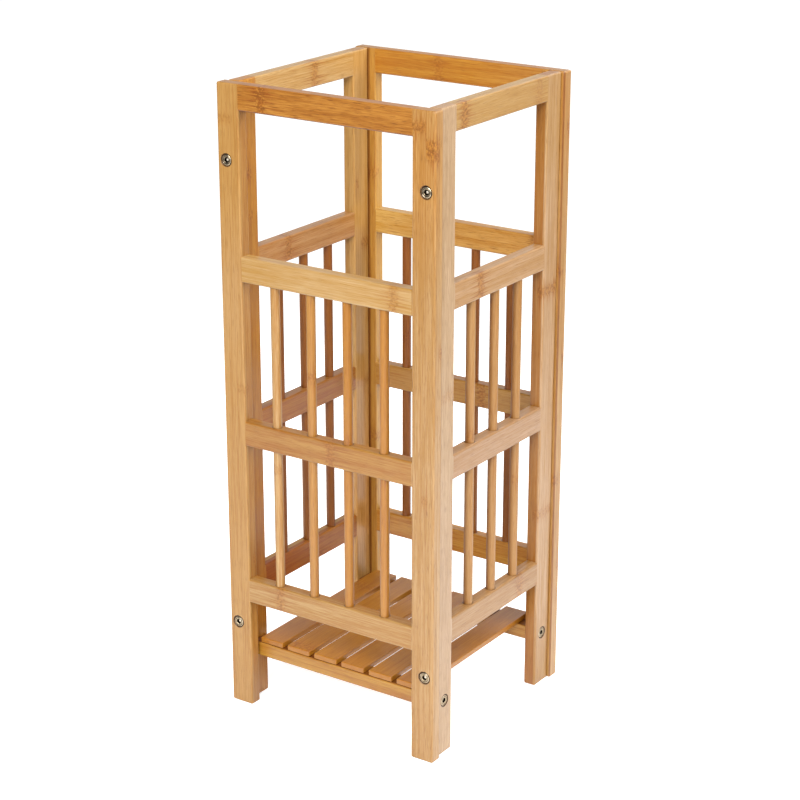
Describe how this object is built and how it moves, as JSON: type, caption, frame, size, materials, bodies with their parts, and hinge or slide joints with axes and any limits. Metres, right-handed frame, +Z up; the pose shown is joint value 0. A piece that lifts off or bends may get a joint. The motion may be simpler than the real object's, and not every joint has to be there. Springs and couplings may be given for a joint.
{
  "type": "umbrella stand",
  "caption": "Tall open square umbrella stand in laminated bamboo: ladder panels with round spindles, screwed at the corners over a low slatted shelf.",
  "frame": {"origin": "floor level, in the middle of the stand's footprint", "axes": "+Z up along the posts, -Y out of the front panel, +X to the right as seen from the front"},
  "size_m": [0.23, 0.222, 0.6],
  "materials": {
    "post_bamboo": "satin lacquer over laminated bamboo",
    "rail_bamboo": "satin lacquer over laminated bamboo",
    "spindle_bamboo": "satin lacquer over turned bamboo",
    "slat_bamboo": "satin lacquer over bamboo strip",
    "screw_metal": "antique nickel plating"
  },
  "bodies": {
    "root": {"back_panel_left_post": "post_bamboo", "back_panel_lower_rail": "rail_bamboo", "back_panel_middle_rail": "rail_bamboo", "back_panel_right_post": "post_bamboo", "back_panel_spindle_1": "spindle_bamboo", "back_panel_spindle_2": "spindle_bamboo", "back_panel_spindle_3": "spindle_bamboo", "back_panel_spindle_4": "spindle_bamboo", "back_panel_top_rail": "rail_bamboo", "back_panel_upper_rail": "rail_bamboo", "back_screw_lower_left": "screw_metal", "back_screw_lower_right": "screw_metal", "back_screw_upper_left": "screw_metal", "back_screw_upper_right": "screw_metal", "front_panel_left_post": "post_bamboo", "front_panel_lower_rail": "rail_bamboo", "front_panel_middle_rail": "rail_bamboo", "front_panel_right_post": "post_bamboo", "front_panel_spindle_1": "spindle_bamboo", "front_panel_spindle_2": "spindle_bamboo", "front_panel_spindle_3": "spindle_bamboo", "front_panel_spindle_4": "spindle_bamboo", "front_panel_top_rail": "rail_bamboo", "front_panel_upper_rail": "rail_bamboo", "front_screw_lower_left": "screw_metal", "front_screw_lower_right": "screw_metal", "front_screw_upper_left": "screw_metal", "front_screw_upper_right": "screw_metal", "left_panel_back_post": "post_bamboo", "left_panel_front_post": "post_bamboo", "left_panel_lower_rail": "rail_bamboo", "left_panel_middle_rail": "rail_bamboo", "left_panel_spindle_1": "spindle_bamboo", "left_panel_spindle_2": "spindle_bamboo", "left_panel_spindle_3": "spindle_bamboo", "left_panel_top_rail": "rail_bamboo", "left_panel_upper_rail": "rail_bamboo", "right_panel_back_post": "post_bamboo", "right_panel_front_post": "post_bamboo", "right_panel_lower_rail": "rail_bamboo", "right_panel_middle_rail": "rail_bamboo", "right_panel_spindle_1": "spindle_bamboo", "right_panel_spindle_2": "spindle_bamboo", "right_panel_spindle_3": "spindle_bamboo", "right_panel_top_rail": "rail_bamboo", "right_panel_upper_rail": "rail_bamboo", "shelf_back_rail": "rail_bamboo", "shelf_front_rail": "rail_bamboo", "shelf_screw_left_back": "screw_metal", "shelf_screw_left_front": "screw_metal", "shelf_screw_right_back": "screw_metal", "shelf_screw_right_front": "screw_metal", "shelf_slat_1": "slat_bamboo", "shelf_slat_2": "slat_bamboo", "shelf_slat_3": "slat_bamboo", "shelf_slat_4": "slat_bamboo", "shelf_slat_5": "slat_bamboo", "shelf_slat_6": "slat_bamboo"}
  },
  "joints": []
}
